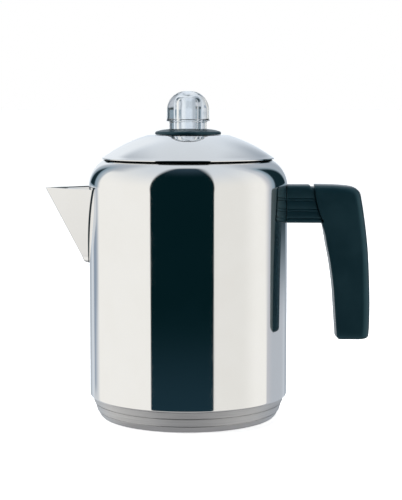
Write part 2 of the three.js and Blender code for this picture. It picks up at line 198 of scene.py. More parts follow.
def loft_mesh(rings):
    """Vertices and faces through closed rings of points, capped at both ends."""
    count = len(rings[0])
    verts = [p for ring in rings for p in ring]
    faces = []
    for i in range(len(rings) - 1):
        for k in range(count):
            a, b = i * count + k, i * count + (k + 1) % count
            faces.append([a, b, b + count, a + count])
    faces.append(list(range(count))[::-1])
    faces.append([(len(rings) - 1) * count + k for k in range(count)])
    return verts, faces


def scratch_object(name, verts, faces):
    mesh = bpy.data.meshes.new(name)
    mesh.from_pydata([Vector(v) * MM for v in verts], [], faces)
    obj = bpy.data.objects.new(name, mesh)
    bpy.context.scene.collection.objects.link(obj)
    finish_mesh(obj)
    return obj


def cylinder_mesh(centre, axis, radius, length, steps=24):
    """Vertices and faces of a rod centred on a point, along a unit axis."""
    axis = Vector(axis).normalized()
    side = axis.orthogonal().normalized()
    other = axis.cross(side)
    rings = []
    for end in (-0.5, 0.5):
        middle = Vector(centre) + axis * (length * end)
        angles = [2 * math.pi * k / steps for k in range(steps)]
        rings.append([tuple(middle + (side * math.cos(a) + other * math.sin(a)) * radius) for a in angles])
    return loft_mesh(rings)


def box_mesh(low, high):
    (x0, y0, z0), (x1, y1, z1) = low, high
    lower = [(x0, y0, z0), (x1, y0, z0), (x1, y1, z0), (x0, y1, z0)]
    return loft_mesh([lower, [(x, y, z1) for x, y, _ in lower]])


def prism_mesh(outline, low, high):
    """Vertices and faces of an outline (x, y) drawn up from one height to another."""
    return loft_mesh([[(x, y, z) for x, y in outline] for z in (low, high)])


def on_circle(radius, angle):
    return radius * math.cos(math.radians(angle)), radius * math.sin(math.radians(angle))


def merged(parts):
    verts, faces = [], []
    for part_verts, part_faces in parts:
        base = len(verts)
        verts += part_verts
        faces += [[base + v for v in face] for face in part_faces]
    return verts, faces


def carve(obj, parts, sharp=32.0, operation="DIFFERENCE"):
    """Cut closed solids, given as (vertices, faces), out of an object."""
    cutter = scratch_object("cutter", *merged(parts))
    modifier = obj.modifiers.new("carve", "BOOLEAN")
    modifier.object = cutter
    modifier.operation = operation
    modifier.solver = "EXACT"
    bpy.context.view_layer.update()
    evaluated = obj.evaluated_get(bpy.context.evaluated_depsgraph_get())
    mesh = bpy.data.meshes.new_from_object(evaluated)
    obj.modifiers.clear()
    obj.data = mesh
    mesh.name = obj.name
    bpy.data.objects.remove(cutter)
    mesh.shade_smooth()
    mesh.set_sharp_from_angle(angle=math.radians(sharp))
    return obj


# ---- Materials --------------------------------------------------------------------------------------

# Shader nodes see metres, so all distances in this section are in metres.


class Nodes:
    """A short way to write a node tree: each call makes one node, links its inputs and returns it."""

    def __init__(self, tree):
        self.tree = tree
        tree.nodes.clear()

    def add(self, kind, settings=None, **inputs):
        node = self.tree.nodes.new(kind)
        for key, value in (settings or {}).items():
            setattr(node, key, value)
        for key, value in inputs.items():
            self.feed(node.inputs[key.replace("_", " ")], value)
        return node

    def feed(self, socket, value):
        if isinstance(value, bpy.types.NodeSocket):
            self.tree.links.new(value, socket)
        else:
            socket.default_value = value

    def math(self, operation, *values, clamp=False):
        node = self.add("ShaderNodeMath", {"operation": operation, "use_clamp": clamp})
        for socket, value in zip(node.inputs, values):
            self.feed(socket, value)
        return node.outputs[0]

    def dot(self, vector, direction):
        node = self.add("ShaderNodeVectorMath", {"operation": "DOT_PRODUCT"})
        self.feed(node.inputs[0], vector)
        self.feed(node.inputs[1], direction)
        return node.outputs["Value"]

    def ramp(self, value, low, high, out_low=0.0, out_high=1.0):
        settings = {"interpolation_type": "SMOOTHSTEP"}
        node = self.add("ShaderNodeMapRange", settings, Value=value)
        for socket, number in zip(node.inputs[1:5], (low, high, out_low, out_high)):
            self.feed(socket, number)
        return node.outputs["Result"]

    def mix(self, factor, first, second):
        node = self.add("ShaderNodeMix", {"data_type": "RGBA"})
        self.feed(node.inputs["Factor"], factor)
        self.feed(node.inputs["A"], first)
        self.feed(node.inputs["B"], second)
        return node.outputs["Result"]

    def noise(self, vector, scale, detail=2.0, roughness=0.5, distortion=0.0):
        node = self.add(
            "ShaderNodeTexNoise", None, Scale=scale, Detail=detail, Roughness=roughness, Distortion=distortion
        )
        if vector is not None:
            self.feed(node.inputs["Vector"], vector)
        return node.outputs["Fac"]

    def split(self, vector):
        """The three parts of a vector, as outputs."""
        return self.add("ShaderNodeSeparateXYZ", None, Vector=vector).outputs

    def stretch(self, vector, x, y, z):
        node = self.add("ShaderNodeMapping", None, Vector=vector)
        node.inputs["Scale"].default_value = (x, y, z)
        return node.outputs["Vector"]

    def bump(self, height, strength, distance, normal=None):
        node = self.add("ShaderNodeBump", None, Height=height, Strength=strength, Distance=distance)
        if normal is not None:
            self.feed(node.inputs["Normal"], normal)
        return node.outputs["Normal"]


def new_material(name):
    material = bpy.data.materials.new(name)
    material.use_nodes = True
    nodes = Nodes(material.node_tree)
    shader = nodes.add("ShaderNodeBsdfPrincipled")
    nodes.add("ShaderNodeOutputMaterial", None, Surface=shader.outputs["BSDF"])
    position = nodes.add("ShaderNodeTexCoord").outputs["Object"]
    return material, nodes, shader, position


def set_sockets(shader, **values):
    for key, value in values.items():
        shader.inputs[key.replace("_", " ")].default_value = value


def polar(nodes, position):
    """Object coordinates as (angle, radius, height), for marks that run round the pot."""
    x, y, z = nodes.split(position)
    angle = nodes.math("ARCTAN2", y, x)
    radius = nodes.math("SQRT", nodes.math("ADD", nodes.math("MULTIPLY", x, x), nodes.math("MULTIPLY", y, y)))
    joined = nodes.add("ShaderNodeCombineXYZ", None, X=angle, Y=radius, Z=z)
    return joined.outputs["Vector"]


def polished_steel(name, seam):
    """Mirror-polished sheet with faint polishing lines, and painted shade, dark and rougher, where the mask
    from seam is 1.
    """
    material, nodes, shader, position = new_material(name)
    set_sockets(shader, Metallic=1.0)
    around = polar(nodes, position)
    lines = nodes.noise(nodes.stretch(around, 1.2, 900.0, 900.0), 1.0, 4.0, 0.65)
    smears = nodes.noise(position, 38.0, 3.0, 0.6)
    painted_shade_mask = seam(nodes, around)
    colour = nodes.mix(nodes.ramp(smears, 0.3, 0.75), (0.895, 0.892, 0.885, 1), (0.91, 0.91, 0.908, 1))
    # Painted shade: the colour goes to a dark teal where the mask is 1.
    nodes.feed(shader.inputs["Base Color"], nodes.mix(painted_shade_mask, colour, (0.011, 0.024, 0.032, 1)))
    rough = nodes.math("ADD", nodes.ramp(smears, 0.35, 0.8, 0.035, 0.07), nodes.math("MULTIPLY", lines, 0.02))
    rough = nodes.math("ADD", rough, nodes.math("MULTIPLY", painted_shade_mask, 0.35))
    nodes.feed(shader.inputs["Roughness"], rough)
    waves = nodes.bump(nodes.noise(position, 14.0, 1.0), 0.06, 0.0006)
    nodes.feed(shader.inputs["Normal"], nodes.bump(lines, 0.03, 0.00004, waves))
    return material


def lid_gap_shade_mask(nodes, around):
    """1 in the shadowed crevice between the shoulder and the lid's edge, and 0 elsewhere on the wall: the mask
    for painted shade there, which stays on the shoulder when the lid is lifted.
    """
    _, radius, height = nodes.split(around)
    rise = nodes.math("SUBTRACT", height, LID_BALL_HEIGHT * MM)
    squares = nodes.math("ADD", nodes.math("MULTIPLY", radius, radius), nodes.math("MULTIPLY", rise, rise))
    under_lid = nodes.ramp(nodes.math("SQRT", squares), 0.0917, 0.0914)
    above = nodes.math("MULTIPLY", nodes.ramp(radius, 0.0546, 0.0540), nodes.ramp(height, 0.1645, 0.1655))
    above = nodes.math("MULTIPLY", above, nodes.ramp(radius, 0.0512, 0.0520))
    return nodes.math("MULTIPLY", above, under_lid)


def spout_shade_mask(nodes, around):
    """A mask for painted shade on the spout: a dark line where it meets the wall, painted for the shadow and
    reflection there, a thin line inside its top edge, and its greyer, rougher fold.
    """
    _, radius, height = nodes.split(around)
    _, y, _ = nodes.split(nodes.add("ShaderNodeTexCoord").outputs["Object"])
    _, facing_y, _ = nodes.split(nodes.add("ShaderNodeNewGeometry").outputs["Normal"])
    inward = nodes.ramp(nodes.math("MULTIPLY", y, facing_y), -0.0002, -0.0012)
    # Painted shade: a thin dark line inside the top edge, on the faces that look inward.
    top_edge = nodes.ramp(height, 0.1470, 0.1473)
    rim = nodes.math("MULTIPLY", top_edge, nodes.ramp(radius, 0.090, 0.070, 0.25, 1.0))
    # Painted shade along the outer fold, at 0.3 strength.
    near_fold = nodes.ramp(nodes.math("ABSOLUTE", y), 0.0016, 0.0011, 0.0, 0.3)
    fold = nodes.math("MULTIPLY", near_fold, nodes.ramp(radius, 0.0655, 0.0665))
    shaded_lines = nodes.math("MAXIMUM", fold, nodes.math("MULTIPLY", rim, inward))
    # Painted shadow and reflection where the spout meets the wall, inside 64.6 mm.
    return nodes.math("MAXIMUM", nodes.ramp(radius, 0.06485, 0.06460), shaded_lines)


def satin_steel(name, colour, rough, brush=0.35):
    """Brushed or satin steel: fine lines round the axis."""
    material, nodes, shader, position = new_material(name)
    set_sockets(shader, Metallic=1.0)
    lines = nodes.noise(nodes.stretch(polar(nodes, position), 2.0, 1600.0, 1600.0), 1.0, 4.0, 0.7)
    patches = nodes.noise(position, 55.0, 3.0, 0.6)
    dark = tuple(c * 0.88 for c in colour) + (1,)
    light = tuple(min(1.0, c * 1.05) for c in colour) + (1,)
    nodes.feed(shader.inputs["Base Color"], nodes.mix(nodes.ramp(lines, 0.3, 0.7), dark, light))
    base_rough = nodes.ramp(patches, 0.3, 0.75, rough - 0.04, rough + 0.05)
    nodes.feed(shader.inputs["Roughness"], nodes.math("ADD", base_rough, nodes.math("MULTIPLY", lines, 0.05)))
    nodes.feed(shader.inputs["Normal"], nodes.bump(lines, brush, 0.00005))
    return material


def black_plastic():
    """Moulded heat-proof plastic: near black, matt, with a fine grain and faint handling marks."""
    material, nodes, shader, position = new_material("black_plastic")
    marks = nodes.noise(position, 45.0, 4.0, 0.6, 0.3)
    grain = nodes.noise(position, 2600.0, 2.0, 0.6)
    flow = nodes.noise(nodes.stretch(position, 30.0, 30.0, 8.0), 1.0, 3.0)
    colour = nodes.mix(nodes.ramp(marks, 0.35, 0.75), (0.0036, 0.0155, 0.0215, 1), (0.006, 0.0205, 0.0275, 1))
    nodes.feed(shader.inputs["Base Color"], colour)
    rough = nodes.math("ADD", nodes.ramp(marks, 0.3, 0.8, 0.28, 0.37), nodes.math("MULTIPLY", grain, 0.08))
    # Fingers polish the face of the grip that looks at the pot.
    x, _, z = nodes.split(position)
    facing_x, _, _ = nodes.split(nodes.add("ShaderNodeNewGeometry").outputs["Normal"])
    polish = nodes.math("MULTIPLY", nodes.ramp(facing_x, -0.7, -0.9), nodes.ramp(x, 0.080, 0.083))
    polish = nodes.math("MULTIPLY", polish, nodes.ramp(z, 0.1275, 0.1265, 0.0, 0.07))
    nodes.feed(shader.inputs["Roughness"], nodes.math("SUBTRACT", rough, polish))
    set_sockets(shader, IOR=1.54, Specular_Tint=(0.42, 0.84, 1.0, 1))
    swirl = nodes.bump(flow, 0.12, 0.0003)
    nodes.feed(shader.inputs["Normal"], nodes.bump(grain, 0.16, 0.00006, swirl))
    return material


def clear_plastic():
    """Clear moulded plastic with a faint blue cast, and very fine scuffs."""
    material, nodes, shader, position = new_material("clear_plastic")
    set_sockets(shader, Transmission_Weight=1.0, IOR=1.49, Base_Color=(0.965, 0.98, 0.99, 1))
    scuffs = nodes.noise(position, 420.0, 4.0, 0.7)
    nodes.feed(shader.inputs["Roughness"], nodes.ramp(scuffs, 0.5, 0.8, 0.0, 0.05))
    nodes.feed(shader.inputs["Normal"], nodes.bump(nodes.noise(position, 70.0, 1.0), 0.05, 0.0004))
    return material


STEEL = polished_steel("polished_steel", lid_gap_shade_mask)
SPOUT_STEEL = polished_steel("spout_polished_steel", spout_shade_mask)
BASE_STEEL = satin_steel("base_satin_steel", (0.69, 0.69, 0.695), 0.40)
INNER_STEEL = satin_steel("inner_satin_steel", (0.74, 0.74, 0.73), 0.26, 0.25)
CORE_METAL = satin_steel("core_aluminium", (0.76, 0.77, 0.78), 0.5, 0.4)
BLACK = black_plastic()
CLEAR = clear_plastic()


# ---- Pot --------------------------------------------------------------------------------------------


def make_pot_wall():
    heel_top = (61.95, 13.9)
    shoulder = 20.0
    outer = (
        [(0.0, 6.4), (30.0, 6.4), (50.0, 6.4)]
        + arc(51.5, 17.4, 11.0, -90, -22, 6)
        + [(61.8, 13.75), heel_top, (62.2, 13.9), (62.9, 13.9)]
        + arc(63.0, 14.9, 1.0, -90, 0, 15)
        + [(POT_RADIUS, z) for z in (15.4, 21.0, 40.0, 84.0, 128.0, 147.0)]
        + arc(POT_RADIUS - shoulder, 148.5, shoulder, 0, 76, 2)
        + arc(48.6, 166.7, 1.2, 84, 180, 8)
        + [(47.4, 165.8), (47.4, 164.6), (47.4, 163.5)]
    )
    wall = turned(
        "pot_wall", sheet_outline(outer, SHEET), STEEL, "pot", ["body_shell"], steps=256
    )
    # The strainer behind the spout: rows of holes that get shorter downwards.
    top_row, row_drop, pitch, hole_radius = 140.0, 8.0, 6.5, 2.1
    holes = []
    for row, count in enumerate((5, 4, 3, 2, 1)):
        for i in range(count):
            centre = (-63.0, (i - (count - 1) / 2) * pitch, top_row - row * row_drop)
            holes.append(cylinder_mesh(centre, (1, 0, 0), hole_radius, 8.0, 28))
    carve(wall, holes)
    true_wall_normals(wall)
    return wall


def true_wall_normals(wall):
    """Give the straight wall its exact radial normals again after the holes are cut through it."""
    mesh = wall.data
    normals = [tuple(n.vector) for n in mesh.corner_normals]
    for polygon in mesh.polygons:
        centre = polygon.center
        if not 0.0215 < centre.z < 0.1465 or abs(polygon.normal.z) > 0.2:
            continue
        for loop in polygon.loop_indices:
            co = mesh.vertices[mesh.loops[loop].vertex_index].co
            radial = Vector((co.x, co.y, 0)).normalized()
            side = 1 if polygon.normal.dot(radial) > 0 else -1
            if abs(polygon.normal.dot(radial)) > 0.9:
                normals[loop] = tuple(radial * side)
    mesh.normals_split_custom_set(normals)


def make_base():
    outside = [
        (0.0, 0.0),
        (40.0, 0.0),
        (56.2, 0.0, 0.6),
        (57.4, 1.2, 0.5),
        (58.8, 3.85, 0.12),
        (58.35, 4.05, 0.1),
        (58.38, 4.4, 0.1),
        (59.4, 4.55, 0.12),
        (60.75, 9.0, 0.12),
        (60.2, 9.2, 0.1),
        (60.25, 9.55, 0.1),
        (61.25, 9.7, 0.12),
        (62.45, 13.6, 0.1),
        (62.0, 13.6, 0.1),
        (61.5, 12.4),
        (59.4, 8.9),
        (57.4, 4.0),
        (55.2, 0.9),
        (0.0, 0.9),
    ]
    turned("base_band", rounded(outside), BASE_STEEL, "pot", ["base_cap"], steps=256, sharp=40)


# ---- Spout ------------------------------------------------------------------------------------------

SPOUT_TOP = 147.8
SPOUT_TIP = -92.5
SPOUT_HALF_ANGLE = 0.655
SPOUT_HEEL = 102.0
SPOUT_BOTTOM = 98.8
SPOUT_SLOPE = 0.522
SPOUT_SHEET = 0.9


def spout_edge(z):
    """X of the spout's outer fold at a height."""
    if z >= SPOUT_HEEL:
        return SPOUT_TIP + SPOUT_SLOPE * (SPOUT_TOP - z)
    drop = min(1.0, (SPOUT_HEEL - z) / (SPOUT_HEEL - SPOUT_BOTTOM))
    return SPOUT_TIP + SPOUT_SLOPE * (SPOUT_TOP - SPOUT_HEEL) + 4.1 * (1 - math.sqrt(1 - drop * drop))


def spout_row(edge, fold, z, root, columns=16, fold_steps=10):
    """Points at one height from root to root round the fold. fold is the fold's radius."""
    half = SPOUT_HALF_ANGLE
    fold = min(fold, max(0.05, (-root - edge) * 0.35))
    centre = edge + fold
    spread = math.pi / 2 - half
    points = []
    for k in range(fold_steps + 1):
        a = math.pi - spread + 2 * spread * k / fold_steps
        points.append((centre + fold * math.cos(a), fold * math.sin(a)))
    start = points[0]
    step = Vector((math.cos(half), math.sin(half)))
    # Where the straight side meets the wall: solve |start + t * step| = root.
    b = start[0] * step.x + start[1] * step.y
    c = start[0] ** 2 + start[1] ** 2 - root**2
    reach = max(0.02, -b - math.sqrt(max(0.0, b * b - c)))
    shares = [j / columns for j in range(columns, 0, -1)]
    side = [(start[0] + step.x * reach * share, start[1] + step.y * reach * share) for share in shares]
    other = [(x, -y) for x, y in reversed(side)]
    return [(x, y, z) for x, y in side + points + other]


def make_spout():
    heel_rows, rows = 12, 44
    outer_fold, inner_fold = 1.9, 1.0
    root = POT_RADIUS + 0.04
    straight_rows = rows - heel_rows
    heights = [SPOUT_BOTTOM + (SPOUT_HEEL - SPOUT_BOTTOM) * i / heel_rows for i in range(heel_rows)]
    heights += [SPOUT_HEEL + (SPOUT_TOP - SPOUT_HEEL) * i / straight_rows for i in range(straight_rows + 1)]
    outer = [spout_row(spout_edge(z), outer_fold, z, root) for z in heights]
    inner = []
    floor = SPOUT_BOTTOM + 1.6
    for z in heights:
        lifted = floor + (z - SPOUT_BOTTOM) * (SPOUT_TOP - floor) / (SPOUT_TOP - SPOUT_BOTTOM)
        edge = min(spout_edge(lifted) + SPOUT_SHEET * 1.25, -root - 0.3)
        inner.append(spout_row(edge, inner_fold, lifted, root))
    count = len(outer[0])
    total = len(outer) * count
    verts = [p for row in outer for p in row] + [p for row in inner for p in row]
    faces = []
    for i in range(len(outer) - 1):
        for k in range(count - 1):
            a = i * count + k
            faces.append([a, a + 1, a + 1 + count, a + count])
            faces.append([total + a + count, total + a + 1 + count, total + a + 1, total + a])
        for k in (0, count - 1):
            a = i * count + k
            faces.append([a, a + count, total + a + count, total + a])
    last = (len(outer) - 1) * count
    for k in range(count - 1):
        faces.append([last + k, last + k + 1, total + last + k + 1, total + last + k])
        faces.append([k, total + k, total + k + 1, k + 1])
    new_object("spout_sheet", verts, faces, SPOUT_STEEL, "pot", ["pour_spout"], sharp=38)


# ---- Handle -----------------------------------------------------------------------------------------


def seam_x(z):
    """X of the slanted joint between the arm and the grip at a height."""
    (x0, a), (x1, b), (x2, c) = SEAM_LOW, SEAM_LEAN, SEAM_HIGH
    z = min(c, max(a, z))
    s = (-(b - a) + math.sqrt((b - a) ** 2 + (c - 2 * b + a) * (z - a))) / (c - 2 * b + a)
    return (1 - s) ** 2 * x0 + 2 * s * (1 - s) * x1 + s * s * x2


def arm_section():
    """The arm's outline in Y and Z, with rounded edges and three pairs of grooves on each side."""
    half, crown, heel = ARM_HALF_WIDTH, 3.6, 1.6
    right = [(half - heel + heel * math.sin(a), ARM_BOTTOM + heel - heel * math.cos(a)) for a in quarter(5)]
    for z in (127.3, 128.9, 133.3, 135.0, 140.2, 141.8):
        for dz, depth in ((-0.42, 0.0), (-0.3, 0.06), (-0.12, 0.34), (0.12, 0.34), (0.3, 0.06), (0.42, 0.0)):
            if z + dz > right[-1][1] + 0.01:
                right.append((half - depth, z + dz))
    right.append((half, ARM_TOP - crown - 1.0))
    right += [(half - crown + crown * math.cos(a), ARM_TOP - crown + crown * math.sin(a)) for a in quarter(9)]
    right.append((half - crown - 1.0, ARM_TOP))
    right.append((3.0, ARM_TOP))
    left = [(-y, z) for y, z in reversed(right)]
    return right + left


def quarter(steps):
    return [math.pi / 2 * k / steps for k in range(steps + 1)]


def make_arm():
    section = arm_section()
    notch_start, tongue_top = 147.15, 146.5

    def end_x(z):
        # Near the top the end leans back, which leaves a small notch in front of the grip.
        if z > notch_start:
            return 79.5 - (z - notch_start) * 0.42
        return seam_x(z) - 0.1

    def ring(place, inset):
        points = []
        for y, z in section:
            yi = y * (1 - inset / ARM_HALF_WIDTH)
            zi = SCREW_HEIGHT + (z - SCREW_HEIGHT) * (1 - inset / ARM_HALF_HEIGHT)
            points.append((place(yi, zi), yi, zi))
        return points

    def near_wall(out):
        return lambda y, z: math.sqrt((POT_RADIUS + 0.12) ** 2 - y * y) + out

    def along(t):
        return lambda y, z: near_wall(0.4)(y, z) * (1 - t) + (end_x(z) - 1.4) * t

    rings = [ring(near_wall(0.0), 1.2), ring(near_wall(0.02), 0.35), ring(near_wall(0.4), 0.0)]
    rings += [ring(along(t), 0.0) for t in (0.1, 0.5, 0.9, 1.0)]
    for back, inset in ((0.9, 0.04), (0.55, 0.16), (0.25, 0.38), (0.08, 0.62), (0.0, 0.9)):
        rings.append(ring(lambda y, z, back=back: end_x(z) - back, inset))
    # A tongue in the middle closes the seam against the grip.
    rings.append(ring(lambda y, z: end_x(z), 1.2))
    for inset in (1.3, 4.0):
        rings.append(ring(lambda y, z: end_x(min(z, tongue_top)) + 0.22, inset))
    verts, faces = loft_mesh(rings)
    arm = new_object("arm_block", verts, faces, BLACK, "pot", ["handle_arm"], sharp=28)
    # A slot for the bracket's tang, and a pocket for its pad on the wall.
    carve(arm, [box_mesh((60, -3.3, 132.7), (95, 3.3, 143.3))], sharp=28)
    pad = [(65.9, 8.4), (60.0, 8.4), (60.0, -8.4), (65.9, -8.4)]
    carve(arm, [prism_mesh(pad, 128.6, 147.4)], sharp=28)


# Stations along the grip: the X and Z of its inner edge, then those of its outer edge.
GRIP_STATIONS = [
    (85.9, 125.7, 93.0, 150.0),
    (86.1, 124.5, 99.0, 149.6),
    (86.4, 123.0, 104.5, 148.9),
    (86.7, 121.3, 108.2, 147.4),
    (87.0, 119.3, 110.2, 144.9),
    (87.6, 116.5, 111.2, 140.5),
    (88.3, 112.0, 112.4, 133.5),
    (90.1, 103.0, 114.2, 121.0),
    (91.5, 94.0, 115.6, 107.5),
    (92.7, 84.0, 116.5, 92.0),
    (93.55, 72.0, 117.05, 76.5),
    (94.25, 62.0, 117.05, 63.0),
    (94.7, 56.5, 116.8, 56.5),
]


def catmull_value(t, a, b, c, d):
    """The Catmull-Rom curve from b to c at share t. a and d are the values before and after them."""
    squared = (2 * a - 5 * b + 4 * c - d) * t * t
    cubed = (3 * b - a - 3 * c + d) * t**3
    return 0.5 * (2 * b + (c - a) * t + squared + cubed)


def catmull(points, per_span):
    """A smooth line of tuples through the given tuples."""
    result = []
    for i in range(len(points) - 1):
        p0, p1 = points[max(i - 1, 0)], points[i]
        p2, p3 = points[i + 1], points[min(i + 2, len(points) - 1)]
        for k in range(per_span):
            t = k / per_span
            result.append(tuple(catmull_value(t, *values) for values in zip(p0, p1, p2, p3)))
    return result + [points[-1]]


def side_points(begin, end, y, count=8):
    """Points between the corners of one straight side, so that the side can follow a curve."""
    return [(begin + (end - begin) * k / (count + 1), y) for k in range(1, count + 1)]


def grip_ring(inner, outer, drawn_in, shape=None):
    """A rounded rectangle from the inner to the outer edge. shape turns (share, y) into a point."""
    half = GRIP_WIDTH / 2 - drawn_in
    depth = math.hypot(outer[0] - inner[0], outer[1] - inner[1])
    wide, tight = min(5.2, depth * 0.3), 0.9
    # Below the arm the inner face falls away a little on both sides of the mould's parting line.
    fall = 0.0 if shape else 0.95 * min(1.0, max(0.0, (124.5 - inner[1]) / 5.0))
    near = tight + fall
    parting = 0.7
    corners = []
    for centre_s, centre_y, radius, start, steps in (
        (depth - wide, half - wide, wide, 0, 9),
        (near, half - tight, tight, 90, 6),
        (near, tight - half, tight, 180, 6),
        (depth - wide, wide - half, wide, 270, 9),
    ):
        if start == 180:
            corners += [(0.0, parting), (0.0, -parting)]
        if start == 270:
            corners += side_points(near, depth - wide, -half)
        for k in range(steps + 1):
            a = math.radians(start + 90.0 * k / steps)
            corners.append((centre_s + radius * math.cos(a), centre_y + radius * math.sin(a)))
        if start == 0:
            corners += side_points(depth - wide, near, half)
    points = []
    for s, y in corners:
        t = s / depth
        if shape:
            points.append(shape(t, y))
        else:
            points.append((inner[0] + (outer[0] - inner[0]) * t, y, inner[1] + (outer[1] - inner[1]) * t))
    return points


def grip_rings():
    rings = [grip_ring(p[:2], p[2:], 0.0) for p in catmull(GRIP_STATIONS, 4)]

    # The upper end follows the seam, and blends into the first station.
    def along_seam(out, inset):
        def shape(t, y):
            z = ARM_BOTTOM + inset + (GRIP_TOP - ARM_BOTTOM - 2 * inset) * t
            return (seam_x(z) + out, y, z)

        return shape

    seam = []
    for drawn_in, out, inset in ((0.45, 0.1, 0.4), (0.18, 0.14, 0.14), (0.04, 0.26, 0.03), (0.0, 0.45, 0.0)):
        seam.append(grip_ring(SEAM_LOW, (SEAM_HIGH[0], GRIP_TOP), drawn_in, along_seam(out, inset)))
    first, start = seam[-1], rings[0]
    for t in (0.25, 0.5, 0.75):
        seam.append([tuple(a + (b - a) * t for a, b in zip(p, q)) for p, q in zip(first, start)])

    # The lower end is rounded over to a flat.
    tail = []
    tail_start, steps = 54.0, 8
    for a in quarter(steps)[1:]:
        drop, inward = 3.0 * math.sin(a), 2.8 * (1 - math.cos(a))
        z = tail_start - drop
        tail.append(grip_ring((94.85 + 0.05 * drop + inward * 0.8, z), (116.6 - inward, z), inward * 0.9))
    return seam + rings + tail


def make_grip():
    verts, faces = loft_mesh(grip_rings())
    grip = new_object("grip_body", verts, faces, BLACK, "pot", ["handle_grip"], sharp=35)
    # The wide bore for the screw's head, the screw's hole, and the tang's slot. In another order the boolean
    # returns an empty mesh.
    for bore in (
        cylinder_mesh((109.5, 0, SCREW_HEIGHT), (1, 0, 0), 4.5, 21, 48),
        cylinder_mesh((100, 0, SCREW_HEIGHT), (1, 0, 0), 2.4, 40, 32),
        box_mesh((70, -3.4, 132.6), (90, 3.4, 143.4)),
    ):
        carve(grip, [bore], sharp=35)

    plug = new_object("grip_plug", verts, faces, BLACK, "pot", ["screw_plug"], sharp=35)
    carve(plug, [cylinder_mesh((112, 0, SCREW_HEIGHT), (1, 0, 0), 4.3, 16, 48)], 35, "INTERSECT")


def make_screw():
    profile = [(0.0, 0.0), (1.75, 0.0, 0.2), (1.75, 21.4), (4.1, 21.4, 0.1), (4.1, 24.4, 0.3), (0.0, 24.4)]
    verts, faces = lathe_mesh(rounded(profile), 48)
    verts = [(SCREW_TIP + z, y, SCREW_HEIGHT + x) for x, y, z in verts]
    screw = new_object("grip_screw", verts, faces, INNER_STEEL, "pot", ["handle_screw"])
    # A crossed slot, 1.1 mm deep.
    for half_y, half_z in ((3.0, 0.5), (0.5, 3.0)):
        low = (SCREW_HEAD_END - 1.1, -half_y, SCREW_HEIGHT - half_z)
        carve(screw, [box_mesh(low, (SCREW_HEAD_END + 0.6, half_y, SCREW_HEIGHT + half_z))])

    ring = [(2.2, 0.0), (4.0, 0.0, 0.15), (4.0, 0.8, 0.15), (2.2, 0.8)]
    verts, faces = lathe_mesh(rounded(ring), 48)
    verts = [(WASHER_START + z, y, SCREW_HEIGHT + x) for x, y, z in verts]
    new_object("grip_washer", verts, faces, INNER_STEEL, "pot", ["handle_washer"])


# ---- Lid --------------------------------------------------------------------------------------------


def make_lid():
    edge = math.degrees(math.acos(54.9 / LID_BALL_RADIUS))
    top = math.degrees(math.acos(26.2 / LID_BALL_RADIUS))
    outer = (
        [(LID_RADIUS, 166.6), (LID_RADIUS, 166.8)]
        + arc(54.75, 166.85, 0.55, 12, 50, 10)
        + arc(0, LID_BALL_HEIGHT, LID_BALL_RADIUS, edge + 0.35, top, 1.5)
        + [(r, LID_FLAT) for r in (24.6, 21.7, 18.0, 11.3)]
    )
    outline = sheet_outline(outer, SHEET)
    lid = turned("lid_shell", outline, STEEL, "lid", ["lid_dome"], steps=256)
    # Two slots for the knob's lugs, which pass them when the knob is turned.
    keys = []
    for turn in (UNLOCK_TURN, UNLOCK_TURN + 180):
        points = [(8, -17), (13.7, -17), (13.7, -8.5), (13.7, 0), (13.7, 8.5), (13.7, 17), (8, 17)]
        flat = [on_circle(r, turn + a) for r, a in points]
        keys.append(prism_mesh(flat, 178.0, 186.0))
    carve(lid, keys)

    ring = [
        (46.6, 159.5, 0.2),
        (46.6, 162.0, 0.5),
        (46.25, 163.2, 0.8),
        (46.6, 164.4, 0.5),
        (46.6, 168.2, 0.5),
        (50.6, 168.2, 0.15),
        (50.6, 168.9, 0.15),
        (45.9, 168.9, 0.8),
        (45.9, 164.4, 0.5),
        (45.55, 163.2, 0.8),
        (45.9, 162.0, 0.5),
        (45.9, 159.5, 0.2),
    ]
    turned("lid_ring", rounded(ring), INNER_STEEL, "lid", ["lid_skirt"], steps=192)

    collar = [
        (11.5, 181.95, 0.1),
        (20.7, 181.95, 0.3),
        (21.2, 182.45, 0.3),
        (21.2, 183.4, 0.5),
        (20.5, 184.1, 0.8),
        (16.8, 185.1, 6.0),
        (12.4, 185.6, 0.35),
        (12.4, 183.8, 0.1),
        (11.5, 183.8, 0.1),
    ]
    turned("collar_ring", rounded(collar, step=8), BLACK, "lid", ["knob_collar"], steps=160)


def make_knob():
    outside = (
        rounded(
            [
                (6.2, 178.65),
                (10.9, 178.65, 0.3),
                (10.9, 184.1, 0.15),
                (12.0, 184.1, 0.3),
                (12.0, 190.2, 0.7),
                (13.9, 190.75, 0.3),
                (13.9, 191.4, 0.3),
                (13.55, 191.9, 0.3),
                (13.5, 196.0),
            ],
            closed=False,
        )
        + arc(1.5, 197.8, 12.0, 0, 90, 4)
        + [(0.0, 209.8)]
    )
    inside = [(0.0, 204.7), (1.2, 204.7)] + arc(2.2, 200.7, 4.0, 90, 0, 6) + [(6.2, 190.0), (6.2, 184.0)]
    knob = turned("knob_dome", outside + inside, CLEAR, "knob", ["sight_knob"], steps=144)
    # Two lugs on the spigot, under the lid.
    lugs = []
    for turn in (0, 180):
        angles = [turn + a for a in (-14, -7, 0, 7, 14)]
        far = [on_circle(13.2, a) for a in angles]
        near = [on_circle(10.2, a) for a in reversed(angles)]
        lugs.append(prism_mesh(far + near, 178.85, 180.5))
    carve(knob, lugs, operation="UNION")


# ---- Pump and basket --------------------------------------------------------------------------------


def perforations(rows, radius, z, depth):
    """Drills for rings of holes. rows holds each ring's radius and its number of holes."""
    drills = []
    for ring, count in rows:
        for i in range(count):
            a = 2 * math.pi * i / count
            centre = (ring * math.cos(a), ring * math.sin(a), z)
            drills.append(cylinder_mesh(centre, (0, 0, 1), radius, depth, 14))
    return drills


